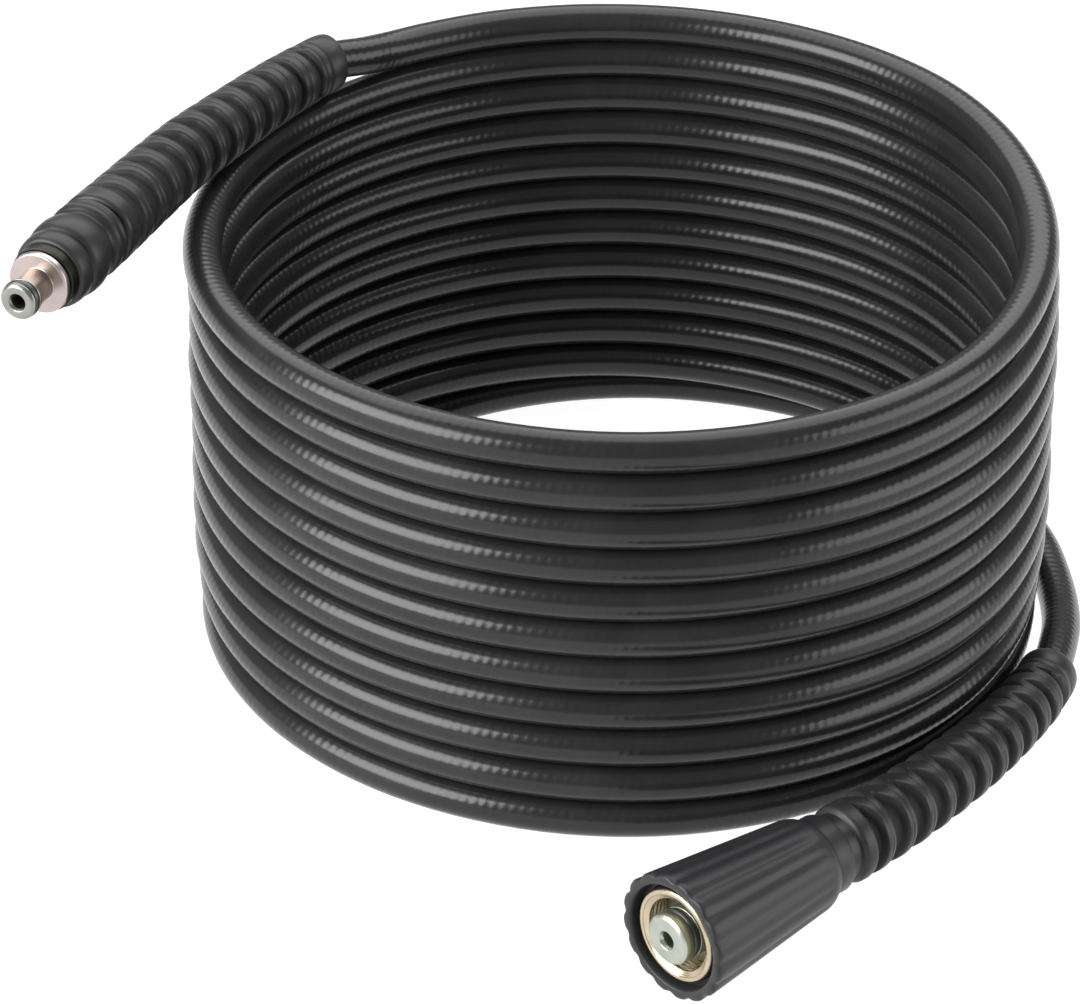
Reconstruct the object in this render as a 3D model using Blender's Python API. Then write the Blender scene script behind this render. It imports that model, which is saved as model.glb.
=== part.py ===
"""Pressure washer hose: a rubber hose wound in an upright coil, with a plug and a screw nut on its ends.

The coil stands on the floor with its axis along +Z.  The routes of the hose's two ends, and the places
of the fittings, are written from the coil's axis: an azimuth, then gaps to the coil and to what carries
them.  At the end the whole part is set so that the origin is below the middle of its plan.
"""
import bpy
import bmesh
from math import cos, pi, radians, sin
from mathutils import Vector

MM = 0.001

# Clearance between pieces that touch
TOUCH_GAP = 0.3 * MM

# Hose and coil
HOSE_D = 12.0 * MM
HOSE_R = HOSE_D / 2
COIL_R = 126.2 * MM
COIL_TURNS = 11
TURN_PITCH = HOSE_D + TOUCH_GAP
TURN_FLAT = 2.4 * MM
GROOVE_DEPTH = 2.6 * MM
COIL_SIDES = 48
COIL_TOP = HOSE_D + (COIL_TURNS - 1) * TURN_PITCH

# Rubber boots over the hose ends
BOOT_SIDES = 20
PLUG_BOOT_RIBS = 13
NUT_BOOT_RIBS = 12
BOOT_RIB_PITCH = 10.2 * MM
BOOT_RIB_GROOVE = 1.4 * MM
BOOT_RIB_SLOPE = 1.0 * MM
BOOT_RIB_DEPTH = 1.5 * MM
BOOT_R_WIDE = 12.1 * MM
BOOT_R_NARROW = 9.6 * MM
BOOT_COLLAR_R = 9.25 * MM
BOOT_COLLAR_LENGTH = 12.8 * MM
BOOT_EDGE = 0.8 * MM
BOOT_BORE_CLEARANCE = 0.45 * MM
BOOT_BORE_R = HOSE_R + BOOT_BORE_CLEARANCE
HEAD_RING_R = 11.85 * MM
HEAD_RING_LENGTH = 5.6 * MM
HEAD_BAND_R = 12.6 * MM
HEAD_BAND_LENGTH = 8.6 * MM
HEAD_GROOVE = 0.9 * MM

# Crimped ferrules
FERRULE_SIDES = BOOT_SIDES
FERRULE_R = 9.0 * MM
FERRULE_BORE_CLEARANCE = 0.35 * MM
FERRULE_BORE_R = HOSE_R + FERRULE_BORE_CLEARANCE
FERRULE_LENGTH = 34.0 * MM
FERRULE_BAND_R = 10.0 * MM
FERRULE_BAND_LENGTH = 4.4 * MM
FERRULE_CLEARANCE = 0.4 * MM

# Steel plug, measured back along its axis from the face of its nose
PLUG_SIDES = 24
PLUG_BORE_R = 2.25 * MM
PLUG_NOSE_R = 5.75 * MM
PLUG_NOSE_EDGE = 0.7 * MM
PLUG_GROOVE_FROM = 1.3 * MM
PLUG_GROOVE_WIDTH = 2.6 * MM
PLUG_GROOVE_R = 4.3 * MM
PLUG_NECK_FROM = 4.8 * MM
PLUG_NECK_R = 5.0 * MM
PLUG_FLANGE_FROM = 12.7 * MM
PLUG_FLANGE_R = 10.3 * MM
PLUG_FLANGE_THICKNESS = 2.4 * MM
PLUG_FLANGE_EDGE = 0.3 * MM
PLUG_TAIL_LENGTH = 9.0 * MM

# Screw nut and its stem, measured back along the nut's axis from the face of its grip
GRIP_FLUTES = 16
GRIP_SIDES_PER_FLUTE = 4
GRIP_FRONT_R = 19.45 * MM
GRIP_BACK_R = 14.2 * MM
GRIP_BODY_LENGTH = 56.6 * MM
GRIP_EDGE = 0.9 * MM
GRIP_FLUTE_DEPTH = 0.9 * MM
GRIP_SHOULDER = 3.0 * MM
HUB_R = 12.1 * MM
HUB_LENGTH = 6.4 * MM
GRIP_MOUTH_R = 16.2 * MM
GRIP_MOUTH_DEPTH = 4.5 * MM
GRIP_BORE_R = 9.6 * MM
INSERT_SIDES = 32
INSERT_FROM = 1.4 * MM
INSERT_LENGTH = 16.9 * MM
INSERT_R = 14.4 * MM
INSERT_EDGE = 0.5 * MM
THREAD_R = 11.2 * MM
THREAD_CHAMFER = 1.2 * MM
INSERT_FLANGE_THICKNESS = 4.1 * MM
SWIVEL_CLEARANCE = 0.4 * MM
STEM_SIDES = 24
STEM_PROUD = 1.8 * MM
STEM_BORE_R = 2.3 * MM
STEM_NOSE_R = 7.7 * MM
STEM_NOSE_EDGE = 0.8 * MM
STEM_GROOVE_FROM = 2.0 * MM
STEM_GROOVE_WIDTH = 2.6 * MM
STEM_GROOVE_R = 6.0 * MM
STEM_NECK_R = 7.4 * MM
STEM_COLLAR_THICKNESS = 4.8 * MM
STEM_NECK_BEHIND_INSERT = 5.3 * MM
STEM_TAIL_LENGTH = 10.0 * MM
BOOT_SWIVEL_GAP = 0.8 * MM

# O-rings sit in the plug's and the stem's grooves
O_RING_SIDE_GAP = 0.3 * MM
O_RING_SEAT_GAP = 0.3 * MM
O_RING_PROUD = 0.25 * MM
O_RING_CORNER = 0.5 * MM

# The end that lies on the coil.  Each point has its azimuth in degrees, its distance outside the middle
# of the turns, its gap above the coil, and the radius of what lies there.
TOP_ARC_FROM = 77
TOP_ARC_TO = 156
TOP_ARC_STEPS = 6
TOP_LEAD = [
    (163.9, 0.0 * MM, 0.3 * MM, HOSE_R),
    (170.6, -0.2 * MM, 0.6 * MM, HOSE_R),
    (176.2, -1.4 * MM, 2.4 * MM, HOSE_R),
    (182.2, -0.3 * MM, 0.7 * MM, BOOT_R_NARROW),
    (189.0, -0.6 * MM, 0.5 * MM, BOOT_R_NARROW),
    (196.0, -0.6 * MM, 0.7 * MM, BOOT_R_NARROW),
    (203.2, 0.1 * MM, -1.2 * MM, BOOT_R_WIDE),
    (210.5, 3.4 * MM, -1.1 * MM, BOOT_R_WIDE),
]
PLUG_NOSE = (248.8, 62.9 * MM, -0.7 * MM, BOOT_R_WIDE)
PLUG_HEADING = -68.0
PLUG_STRAIGHT_RUN = 49.4 * MM

# The end that lies on the floor beside the coil: azimuth, gap to the coil, gap to the floor, radius
TAIL_LEAD = [
    (70.0, 0.4 * MM, 0.1 * MM, HOSE_R),
    (59.7, 1.0 * MM, 0.1 * MM, HOSE_R),
    (50.8, 1.1 * MM, 0.1 * MM, HOSE_R),
    (41.7, 2.1 * MM, 0.8 * MM, HOSE_R),
    (33.7, 3.1 * MM, 2.6 * MM, HOSE_R),
    (23.0, 1.4 * MM, 0.6 * MM, BOOT_R_NARROW),
    (11.6, 0.7 * MM, -0.2 * MM, BOOT_R_WIDE),
    (-0.9, 6.1 * MM, 1.8 * MM, BOOT_R_WIDE),
    (-12.8, 16.5 * MM, 4.8 * MM, BOOT_R_WIDE),
]
NUT_FACE = (-39.7, 56.8 * MM, 0.1 * MM, GRIP_FRONT_R)
NUT_HEADING = -90.0
NUT_STRAIGHT_RUN = 10.0 * MM

# The two free ends are tubes with a point about every two diameters
LEAD_STEP = 25.0 * MM
LEAD_BEVEL_RESOLUTION = 3


def material(name, colour, roughness, metallic):
    made = bpy.data.materials.new(name)
    made.use_nodes = True
    shader = made.node_tree.nodes["Principled BSDF"]
    shader.inputs["Base Color"].default_value = (*colour, 1.0)
    shader.inputs["Roughness"].default_value = roughness
    shader.inputs["Metallic"].default_value = metallic
    made.diffuse_color = (*colour, 1.0)
    return made


def round_coil(azimuth, reach, height):
    return Vector((reach * cos(radians(azimuth)), reach * sin(radians(azimuth)), height))


def on_coil(azimuth, outward, gap, radius):
    """A point of something round that lies on top of the coil."""
    return round_coil(azimuth, COIL_R + outward, COIL_TOP + gap + radius)


def beside_coil(azimuth, gap, floor_gap, radius):
    """A point of something round that lies on the floor outside the coil."""
    return round_coil(azimuth, COIL_R + HOSE_R + gap + radius, floor_gap + radius)


def cross_axes(forward):
    """Two axes across a direction that is never upright: one level, one upward."""
    level = Vector((0, 0, 1)).cross(forward).normalized()
    return level, forward.cross(level)


def straight(start, heading):
    """A place function for pieces on a level straight axis, which runs back from the given heading."""
    back = -Vector((cos(radians(heading)), sin(radians(heading)), 0))
    level, up = cross_axes(back)

    def place(distance):
        return start + back * distance, level, up

    return place


def upright(distance):
    """The place function for a piece turned round the Z axis."""
    return Vector((0, 0, distance)), Vector((1, 0, 0)), Vector((0, 1, 0))


def turned_solid(name, outline, place, sides, finish, flutes=0):
    """Turns a closed outline round the axis that place gives.

    A point of the outline is a distance and a radius, and where flutes run also their depth.
    """
    mesh = bpy.data.meshes.new(name)
    shape = bmesh.new()
    rings = []
    for distance, radius, *depth in outline:
        centre, across, up = place(distance)
        ring = []
        for side in range(sides):
            angle = 2 * pi * side / sides
            reach = radius
            if depth:
                reach -= depth[0] * (1 - cos(flutes * angle)) / 2
            ring.append(shape.verts.new(centre + across * (reach * cos(angle)) + up * (reach * sin(angle))))
        rings.append(ring)
    for index, ring in enumerate(rings):
        other = rings[(index + 1) % len(rings)]
        for side in range(sides):
            after = (side + 1) % sides
            shape.faces.new((ring[side], ring[after], other[after], other[side]))
    bmesh.ops.recalc_face_normals(shape, faces=shape.faces)
    shape.to_mesh(mesh)
    shape.free()
    mesh.shade_smooth()
    mesh.set_sharp_from_angle(angle=radians(30))
    mesh.materials.append(finish)
    made = bpy.data.objects.new(name, mesh)
    bpy.context.collection.objects.link(made)
    return made


def smooth_through(points, pieces=8):
    """Points along one smooth curve through the given points (Catmull-Rom)."""
    ends = [points[0] * 2 - points[1], *points, points[-1] * 2 - points[-2]]
    made = []
    for index in range(1, len(ends) - 2):
        before, start, end, after = ends[index - 1:index + 3]
        for piece in range(pieces):
            t = piece / pieces
            made.append(0.5 * (2 * start + (end - before) * t
                               + (2 * before - 5 * start + 4 * end - after) * t ** 2
                               + (3 * start - before - 3 * end + after) * t ** 3))
    made.append(points[-1].copy())
    return made


def even_points(points, step):
    """Points at an even spacing of about step along a line of points, both ends kept."""
    lengths = [0.0]
    for start, end in zip(points, points[1:]):
        lengths.append(lengths[-1] + (end - start).length)
    count = max(1, round(lengths[-1] / step))
    made = []
    index = 0
    for number in range(count + 1):
        wanted = lengths[-1] * number / count
        while index < len(points) - 2 and lengths[index + 1] < wanted:
            index += 1
        share = (wanted - lengths[index]) / (lengths[index + 1] - lengths[index])
        made.append(points[index].lerp(points[index + 1], share))
    return made


def hose_tube(name, points, finish):
    """A length of hose as a round tube along its points, with flat ends."""
    curve = bpy.data.curves.new(name, "CURVE")
    curve.dimensions = "3D"
    curve.bevel_depth = HOSE_R
    curve.bevel_resolution = LEAD_BEVEL_RESOLUTION
    curve.use_fill_caps = True
    spline = curve.splines.new("POLY")
    spline.points.add(len(points) - 1)
    for point, place in zip(spline.points, points):
        point.co = (*place, 1.0)
    curve.materials.append(finish)
    made = bpy.data.objects.new(name, curve)
    bpy.context.collection.objects.link(made)
    return made


def along_hose(points):
    """A place function along a line of points, whose planes turn evenly from bend to bend."""
    runs = [end - start for start, end in zip(points, points[1:])]
    lengths = [0.0]
    for run in runs:
        lengths.append(lengths[-1] + run.length)
    headings = [run.normalized() for run in runs]
    planes = [headings[0]]
    for before, after in zip(headings, headings[1:]):
        planes.append((before + after).normalized())
    planes.append(headings[-1])

    def place(distance):
        index = 0
        while index < len(runs) - 1 and lengths[index + 1] < distance:
            index += 1
        share = (distance - lengths[index]) / runs[index].length
        centre = points[index] + runs[index] * share
        facing = planes[index].lerp(planes[index + 1], min(max(share, 0.0), 1.0))
        return centre, *cross_axes(facing.normalized())

    return place, lengths


def coil_outline():
    """Section of the coil's wall: one rounded step for each turn, outside and inside."""
    outside = []
    inside = []
    for turn in range(COIL_TURNS):
        middle = HOSE_R + turn * TURN_PITCH
        groove = middle + TURN_PITCH / 2
        for height in (middle - TURN_FLAT, middle + TURN_FLAT):
            outside.append((height, COIL_R + HOSE_R))
            inside.append((height, COIL_R - HOSE_R))
        if turn < COIL_TURNS - 1:
            outside.append((groove, COIL_R + HOSE_R - GROOVE_DEPTH))
            inside.append((groove, COIL_R - HOSE_R + GROOVE_DEPTH))
    bottom = [(0.0, COIL_R - TURN_FLAT), (0.0, COIL_R + TURN_FLAT)]
    top = [(COIL_TOP, COIL_R + TURN_FLAT), (COIL_TOP, COIL_R - TURN_FLAT)]
    return bottom + outside + top + inside[::-1]


def rib_outline(start, ribs):
    """Outer points of a boot's ribs and its plain collar, from the wide end on."""
    made = []
    for rib in range(ribs):
        share = rib / (ribs - 1)
        crest = BOOT_R_WIDE + (BOOT_R_NARROW - BOOT_R_WIDE) * share
        groove = crest - BOOT_RIB_DEPTH
        left = start + rib * BOOT_RIB_PITCH
        right = left + BOOT_RIB_PITCH - BOOT_RIB_GROOVE
        made += [
            (left, groove),
            (left + BOOT_RIB_SLOPE, crest),
            (right - BOOT_RIB_SLOPE, crest),
            (right, groove),
        ]
    collar = start + ribs * BOOT_RIB_PITCH
    end = collar + BOOT_COLLAR_LENGTH
    made += [
        (collar, BOOT_COLLAR_R),
        (end - BOOT_EDGE, BOOT_COLLAR_R),
        (end, BOOT_COLLAR_R - BOOT_EDGE),
    ]
    return made


def head_outline():
    """Outer points of the two plain rings that hold a boot on the plug's ferrule."""
    band = HEAD_RING_LENGTH + HEAD_GROOVE
    return [
        (0.0, HEAD_RING_R - BOOT_EDGE),
        (BOOT_EDGE, HEAD_RING_R),
        (HEAD_RING_LENGTH, HEAD_RING_R),
        (HEAD_RING_LENGTH, HEAD_RING_R - HEAD_GROOVE),
        (band, HEAD_RING_R - HEAD_GROOVE),
        (band, HEAD_BAND_R - BOOT_EDGE),
        (band + BOOT_EDGE, HEAD_BAND_R),
        (band + HEAD_BAND_LENGTH - BOOT_EDGE, HEAD_BAND_R),
        (band + HEAD_BAND_LENGTH, HEAD_BAND_R - BOOT_EDGE),
    ]


def boot(name, outer, bore, hose_points, start, finish):
    """A boot over the hose: its outer points, then its bore, with a ring at each bend of the hose."""
    place, bends = along_hose(hose_points)
    end = outer[-1][0]
    back = [(end, BOOT_BORE_R)]
    for bend in reversed(bends):
        if bore[-1][0] + BOOT_EDGE < bend - start < end - BOOT_EDGE:
            back.append((bend - start, BOOT_BORE_R))
    back += bore[::-1]
    return turned_solid(name, outer + back, lambda distance: place(start + distance), BOOT_SIDES, finish)


def ferrule_outline(start, band):
    """A sleeve over the hose's end, which may start with a wider band."""
    made = [
        (start + FERRULE_LENGTH, FERRULE_R),
        (start + FERRULE_LENGTH, FERRULE_BORE_R),
        (start, FERRULE_BORE_R),
    ]
    if band:
        return [
            (start, FERRULE_BAND_R),
            (start + FERRULE_BAND_LENGTH, FERRULE_BAND_R),
            (start + FERRULE_BAND_LENGTH, FERRULE_R),
            *made,
        ]
    return [(start, FERRULE_R), *made]


def o_ring_outline(groove_from, groove_width, groove_radius, crown_radius):
    start = groove_from + O_RING_SIDE_GAP
    end = groove_from + groove_width - O_RING_SIDE_GAP
    inner = groove_radius + O_RING_SEAT_GAP
    outer = crown_radius + O_RING_PROUD
    return [
        (start, inner + O_RING_CORNER),
        (start, outer - O_RING_CORNER),
        (start + O_RING_CORNER, outer),
        (end - O_RING_CORNER, outer),
        (end, outer - O_RING_CORNER),
        (end, inner + O_RING_CORNER),
        (end - O_RING_CORNER, inner),
        (start + O_RING_CORNER, inner),
    ]


def plug_outline(tail_end):
    groove_to = PLUG_GROOVE_FROM + PLUG_GROOVE_WIDTH
    flange_to = PLUG_FLANGE_FROM + PLUG_FLANGE_THICKNESS
    return [
        (0.0, PLUG_BORE_R),
        (0.0, PLUG_NOSE_R - PLUG_NOSE_EDGE),
        (PLUG_NOSE_EDGE, PLUG_NOSE_R),
        (PLUG_GROOVE_FROM, PLUG_NOSE_R),
        (PLUG_GROOVE_FROM, PLUG_GROOVE_R),
        (groove_to, PLUG_GROOVE_R),
        (groove_to, PLUG_NOSE_R),
        (PLUG_NECK_FROM, PLUG_NOSE_R),
        (PLUG_NECK_FROM, PLUG_NECK_R),
        (PLUG_FLANGE_FROM, PLUG_NECK_R),
        (PLUG_FLANGE_FROM, PLUG_FLANGE_R - PLUG_FLANGE_EDGE),
        (PLUG_FLANGE_FROM + PLUG_FLANGE_EDGE, PLUG_FLANGE_R),
        (flange_to - PLUG_FLANGE_EDGE, PLUG_FLANGE_R),
        (flange_to, PLUG_FLANGE_R - PLUG_FLANGE_EDGE),
        (flange_to, HOSE_R),
        (tail_end, HOSE_R),
        (tail_end, PLUG_BORE_R),
    ]


def grip_radius(distance):
    """Outer radius of the tapering grip at a distance back from its face."""
    share = distance / GRIP_BODY_LENGTH
    return GRIP_FRONT_R + (GRIP_BACK_R - GRIP_FRONT_R) * share


def grip_outline(insert_end):
    """The tapering fluted body, its plain hub, and the seat of the brass insert."""
    middle = GRIP_BODY_LENGTH / 2
    shoulder = GRIP_BODY_LENGTH - GRIP_SHOULDER
    hub_end = GRIP_BODY_LENGTH + HUB_LENGTH
    seat = INSERT_R + TOUCH_GAP
    seat_end = insert_end + TOUCH_GAP
    return [
        (0.0, GRIP_MOUTH_R),
        (0.0, grip_radius(0.0) - GRIP_EDGE, GRIP_FLUTE_DEPTH),
        (GRIP_EDGE, grip_radius(GRIP_EDGE), GRIP_FLUTE_DEPTH),
        (middle, grip_radius(middle), GRIP_FLUTE_DEPTH),
        (shoulder, grip_radius(shoulder), GRIP_FLUTE_DEPTH),
        (GRIP_BODY_LENGTH, HUB_R + GRIP_EDGE),
        (GRIP_BODY_LENGTH, HUB_R),
        (hub_end - GRIP_EDGE, HUB_R),
        (hub_end, HUB_R - GRIP_EDGE),
        (hub_end, GRIP_BORE_R),
        (seat_end, GRIP_BORE_R),
        (seat_end, seat),
        (GRIP_MOUTH_DEPTH, seat),
        (GRIP_MOUTH_DEPTH, GRIP_MOUTH_R),
    ]


def insert_outline(insert_end):
    bore_end = insert_end - INSERT_FLANGE_THICKNESS
    flange_bore = STEM_NECK_R + SWIVEL_CLEARANCE
    return [
        (INSERT_FROM, THREAD_R + THREAD_CHAMFER),
        (INSERT_FROM, INSERT_R - INSERT_EDGE),
        (INSERT_FROM + INSERT_EDGE, INSERT_R),
        (insert_end, INSERT_R),
        (insert_end, flange_bore),
        (bore_end, flange_bore),
        (bore_end, THREAD_R),
        (INSERT_FROM + THREAD_CHAMFER, THREAD_R),
    ]


def stem_outline(collar_end, neck_end, tail_end):
    groove_to = STEM_GROOVE_FROM + STEM_GROOVE_WIDTH
    collar_from = collar_end - STEM_COLLAR_THICKNESS
    collar_radius = THREAD_R - SWIVEL_CLEARANCE
    return [
        (-STEM_PROUD, STEM_BORE_R),
        (-STEM_PROUD, STEM_NOSE_R - STEM_NOSE_EDGE),
        (STEM_NOSE_EDGE - STEM_PROUD, STEM_NOSE_R),
        (STEM_GROOVE_FROM, STEM_NOSE_R),
        (STEM_GROOVE_FROM, STEM_GROOVE_R),
        (groove_to, STEM_GROOVE_R),
        (groove_to, STEM_NOSE_R),
        (collar_from, STEM_NOSE_R),
        (collar_from, collar_radius),
        (collar_end, collar_radius),
        (collar_end, STEM_NECK_R),
        (neck_end, STEM_NECK_R),
        (neck_end, HOSE_R),
        (tail_end, HOSE_R),
        (tail_end, STEM_BORE_R),
    ]


def plug_end(hose_rubber, boot_rubber, seal_rubber, zinc_steel, dark_steel):
    """The hose's end on top of the coil, with its plug, O-ring, ferrule and boot."""
    place = straight(on_coil(*PLUG_NOSE), PLUG_HEADING)
    flange_to = PLUG_FLANGE_FROM + PLUG_FLANGE_THICKNESS
    tail_end = flange_to + PLUG_TAIL_LENGTH
    hose_end = tail_end + TOUCH_GAP
    ferrule_from = flange_to + TOUCH_GAP
    ferrule_to = ferrule_from + FERRULE_LENGTH

    route = []
    for step in range(TOP_ARC_STEPS + 1):
        azimuth = TOP_ARC_FROM + (TOP_ARC_TO - TOP_ARC_FROM) * step / TOP_ARC_STEPS
        route.append(round_coil(azimuth, COIL_R, COIL_TOP + TOUCH_GAP + HOSE_R))
    route += [on_coil(*point) for point in TOP_LEAD]
    route += [place(distance)[0] for distance in (ferrule_to + PLUG_STRAIGHT_RUN, ferrule_to, hose_end)]
    hose = even_points(smooth_through(route), LEAD_STEP)

    boot_from = ferrule_from + FERRULE_BAND_LENGTH + TOUCH_GAP
    bore_step = ferrule_to + TOUCH_GAP - boot_from
    ferrule_seat = FERRULE_R + FERRULE_CLEARANCE
    bore = [(0.0, ferrule_seat), (bore_step, ferrule_seat), (bore_step, BOOT_BORE_R)]
    head = head_outline()
    outer = head + rib_outline(head[-1][0], PLUG_BOOT_RIBS)
    seal = o_ring_outline(PLUG_GROOVE_FROM, PLUG_GROOVE_WIDTH, PLUG_GROOVE_R, PLUG_NOSE_R)
    return [
        hose_tube("hose_lead_top", hose, hose_rubber),
        turned_solid("plug_body", plug_outline(tail_end), place, PLUG_SIDES, zinc_steel),
        turned_solid("plug_o_ring", seal, place, PLUG_SIDES, seal_rubber),
        turned_solid("plug_ferrule", ferrule_outline(ferrule_from, True), place, FERRULE_SIDES, dark_steel),
        boot("plug_boot", outer, bore, hose[::-1], boot_from - hose_end, boot_rubber),
    ]


def nut_end(hose_rubber, boot_rubber, seal_rubber, grip_plastic, brass, zinc_steel, dark_steel):
    """The hose's end on the floor: boot, ferrule, stem, O-ring, and the nut that swivels on the stem."""
    place = straight(beside_coil(*NUT_FACE), NUT_HEADING)
    insert_end = INSERT_FROM + INSERT_LENGTH
    collar_end = insert_end - INSERT_FLANGE_THICKNESS - SWIVEL_CLEARANCE
    neck_end = insert_end + STEM_NECK_BEHIND_INSERT
    tail_end = neck_end + STEM_TAIL_LENGTH
    hose_end = tail_end + TOUCH_GAP
    hub_end = GRIP_BODY_LENGTH + HUB_LENGTH

    route = [beside_coil(*point) for point in TAIL_LEAD]
    route += [place(distance)[0] for distance in (hub_end + NUT_STRAIGHT_RUN, hub_end, hose_end)]
    hose = even_points(smooth_through(route), LEAD_STEP)

    stem = stem_outline(collar_end, neck_end, tail_end)
    seal = o_ring_outline(STEM_GROOVE_FROM, STEM_GROOVE_WIDTH, STEM_GROOVE_R, STEM_NOSE_R)
    sleeve = ferrule_outline(neck_end + TOUCH_GAP, False)
    grip_sides = GRIP_FLUTES * GRIP_SIDES_PER_FLUTE
    boot_from = hub_end + BOOT_SWIVEL_GAP - hose_end
    return [
        hose_tube("hose_lead_tail", hose, hose_rubber),
        turned_solid("nut_stem", stem, place, STEM_SIDES, zinc_steel),
        turned_solid("stem_o_ring", seal, place, STEM_SIDES, seal_rubber),
        turned_solid("nut_ferrule", sleeve, place, FERRULE_SIDES, dark_steel),
        turned_solid("nut_insert", insert_outline(insert_end), place, INSERT_SIDES, brass),
        turned_solid("nut_grip", grip_outline(insert_end), place, grip_sides, grip_plastic, GRIP_FLUTES),
        boot("nut_boot", rib_outline(0.0, NUT_BOOT_RIBS), [(0.0, BOOT_BORE_R)], hose[::-1], boot_from, boot_rubber),
    ]


def stand_on_origin(objects):
    """Moves the whole part level so that the origin is below the middle of its plan."""
    bpy.context.view_layer.update()
    graph = bpy.context.evaluated_depsgraph_get()
    places = []
    for item in objects:
        mesh = item.evaluated_get(graph).to_mesh()
        places += [item.matrix_world @ vertex.co for vertex in mesh.vertices]
        item.evaluated_get(graph).to_mesh_clear()
    middle_x = (min(place.x for place in places) + max(place.x for place in places)) / 2
    middle_y = (min(place.y for place in places) + max(place.y for place in places)) / 2
    for item in objects:
        item.location = (-middle_x, -middle_y, 0.0)


def build():
    for item in list(bpy.data.objects):
        bpy.data.objects.remove(item, do_unlink=True)

    hose_rubber = material("hose_rubber", (0.022, 0.022, 0.024), 0.45, 0.0)
    boot_rubber = material("boot_rubber", (0.045, 0.045, 0.047), 0.6, 0.0)
    seal_rubber = material("seal_rubber", (0.012, 0.014, 0.013), 0.4, 0.0)
    grip_plastic = material("grip_plastic", (0.05, 0.05, 0.055), 0.4, 0.0)
    zinc_steel = material("zinc_steel", (0.72, 0.69, 0.66), 0.3, 1.0)
    dark_steel = material("dark_steel", (0.06, 0.06, 0.055), 0.45, 1.0)
    brass = material("brass", (0.82, 0.72, 0.52), 0.28, 1.0)

    made = [turned_solid("hose_coil", coil_outline(), upright, COIL_SIDES, hose_rubber)]
    made += plug_end(hose_rubber, boot_rubber, seal_rubber, zinc_steel, dark_steel)
    made += nut_end(hose_rubber, boot_rubber, seal_rubber, grip_plastic, brass, zinc_steel, dark_steel)
    stand_on_origin(made)


build()
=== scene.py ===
from math import atan2, cos, hypot, pi, radians, sin

import bpy
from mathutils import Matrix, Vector


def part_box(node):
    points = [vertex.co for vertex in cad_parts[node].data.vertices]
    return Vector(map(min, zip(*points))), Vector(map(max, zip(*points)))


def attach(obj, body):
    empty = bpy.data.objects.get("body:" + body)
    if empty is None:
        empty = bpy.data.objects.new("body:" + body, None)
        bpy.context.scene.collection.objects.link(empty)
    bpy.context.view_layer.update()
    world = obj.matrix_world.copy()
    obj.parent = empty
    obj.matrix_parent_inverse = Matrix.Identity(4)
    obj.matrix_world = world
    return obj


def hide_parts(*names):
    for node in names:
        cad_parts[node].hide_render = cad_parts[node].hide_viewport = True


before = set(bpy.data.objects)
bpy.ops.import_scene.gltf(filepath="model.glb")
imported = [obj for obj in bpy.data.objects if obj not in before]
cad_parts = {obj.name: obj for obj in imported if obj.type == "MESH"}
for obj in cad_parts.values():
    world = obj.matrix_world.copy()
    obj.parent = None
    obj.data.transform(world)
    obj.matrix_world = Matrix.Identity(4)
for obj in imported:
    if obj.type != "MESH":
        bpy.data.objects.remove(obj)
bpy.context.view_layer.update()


# The camera looks down at the coil from its front right, from about 1.7 metres off, with a long lens.
DOWNWARD, HEADING, ROLL = 59.17, 46.0, 0.785

bpy.ops.object.camera_add(
    location=(1.04009, -1.03685, 0.93245),
    rotation=(radians(DOWNWARD), 0.0, radians(HEADING)),
)
camera = bpy.context.object
camera.name = "camera"
camera.rotation_euler.rotate_axis("Z", radians(ROLL))
camera.data.sensor_fit = "HORIZONTAL"
camera.data.sensor_width = 36.0
camera.data.lens = 187.5
camera.data.clip_end = 20.0
bpy.context.scene.camera = camera


# The hose is 9.4 metres of black rubber hose, 12 mm thick, wound in a standing coil.
# Its skin keeps the fine cross ridges of the cloth it was cured in.
# One end lies on top of the coil, and the other on the floor beside it.
HOSE_R = 0.006
HOSE_SIDES = 28
RIDGE_PITCH = 0.0029
RIDGE_TWISTS = 3

# The coil's middle reach, its top turn's height and its pitch, in millimetres, and its steps in degrees
COIL_REACH = 126.2
TOP_HEIGHT = 141.3
TURN_PITCH = 12.3
COIL_START = -3890
COIL_STEP = 12
STEP_COUNT = 337

coil_low, coil_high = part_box("hose_coil")
coil_axis = Vector(((coil_low.x + coil_high.x) / 2, (coil_low.y + coil_high.y) / 2, 0.0))
plug_face = Vector((-0.090917, -0.156091, 0.1464))
plug_back = Vector((-cos(radians(-68.0)), -sin(radians(-68.0)), 0.0))
nut_face = Vector((0.137436, -0.11192, 0.01955))
nut_back = Vector((0.0, 1.0, 0.0))


def round_coil(azimuth, reach, height):
    """A point by its azimuth in degrees, and its reach from the coil's axis and height in millimetres."""
    turned = radians(azimuth)
    return coil_axis + 0.001 * Vector((reach * cos(turned), reach * sin(turned), height))


def eased(share):
    """Holds a share between 0 and 1, and softens it at both ends."""
    share = min(max(share, 0.0), 1.0)
    return share * share * (3 - 2 * share)


# From the nut along the floor to the coil
hose_points = [nut_face + nut_back * back for back in (0.0339, 0.063, 0.073)]
for point in (
    (-12.8, 160.8, 16.9),
    (-0.9, 150.4, 13.9),
    (11.6, 145.0, 11.9),
    (23.0, 143.2, 10.2),
    (33.7, 141.3, 8.6),
    (41.7, 140.3, 6.8),
    (50.8, 139.3, 6.1),
    (59.7, 139.2, 6.1),
    (70.0, 138.6, 6.1),
):
    hose_points.append(round_coil(*point))

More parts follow.
